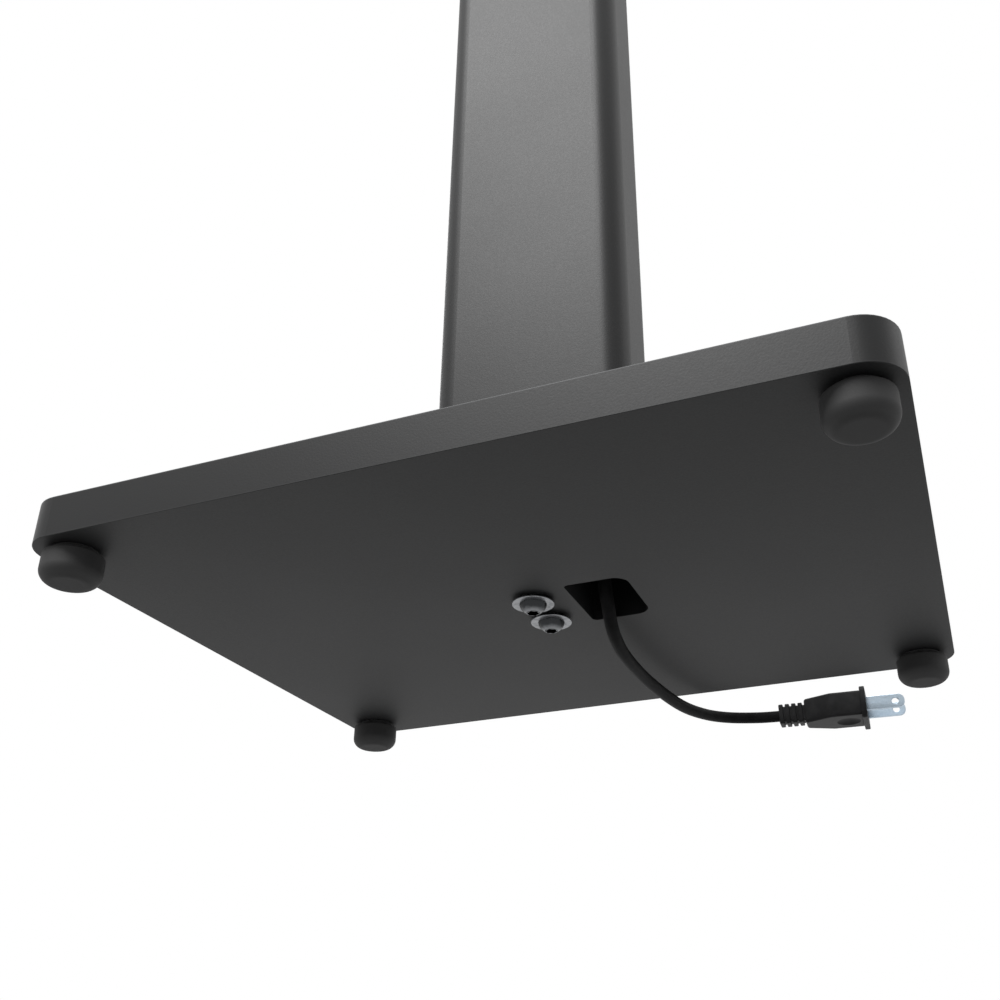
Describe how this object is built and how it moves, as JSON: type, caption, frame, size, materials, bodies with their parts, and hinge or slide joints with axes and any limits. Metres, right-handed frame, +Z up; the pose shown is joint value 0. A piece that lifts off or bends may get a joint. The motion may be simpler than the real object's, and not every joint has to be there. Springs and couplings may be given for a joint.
{
  "type": "speaker stand",
  "caption": "Floor stand for a compact speaker: heavy base plate on rubber feet, rounded column with an inner cable channel, padded top plate, and a lead with its plug.",
  "frame": {"origin": "on the floor, below the middle of the base plate", "axes": "+Z up; -Y to the front, the side that the picture shows; +X to the right as seen from the front, the side of the cable channel"},
  "size_m": [0.29, 0.2841, 0.8104],
  "materials": {
    "coated_steel": "dark grey fine-textured powder coat on steel plate",
    "coated_aluminium": "dark grey fine-textured powder coat on extruded aluminium",
    "foot_rubber": "black moulded rubber, satin",
    "pad_rubber": "black rubber, matt",
    "zinc": "bright zinc-plated steel",
    "cord_sheath": "black cable sheath, satin",
    "plug_plastic": "black moulded plastic, satin",
    "nickel": "nickel-plated brass, bright"
  },
  "bodies": {
    "root": {"base_plate": "coated_steel", "foot_front_left": "foot_rubber", "foot_front_right": "foot_rubber", "foot_rear_left": "foot_rubber", "foot_rear_right": "foot_rubber", "stud_front_left": "zinc", "stud_front_right": "zinc", "stud_rear_left": "zinc", "stud_rear_right": "zinc", "column": "coated_aluminium", "base_screw_front": "zinc", "base_screw_rear": "zinc", "washer_front": "zinc", "washer_rear": "zinc", "top_plate": "coated_steel", "top_screw_front": "zinc", "top_screw_rear": "zinc", "top_pad": "pad_rubber", "grommet": "pad_rubber", "connector": "plug_plastic", "cord_run": "cord_sheath", "cord_free": "cord_sheath", "plug": "plug_plastic", "blade_front": "nickel", "blade_rear": "nickel"}
  },
  "joints": []
}
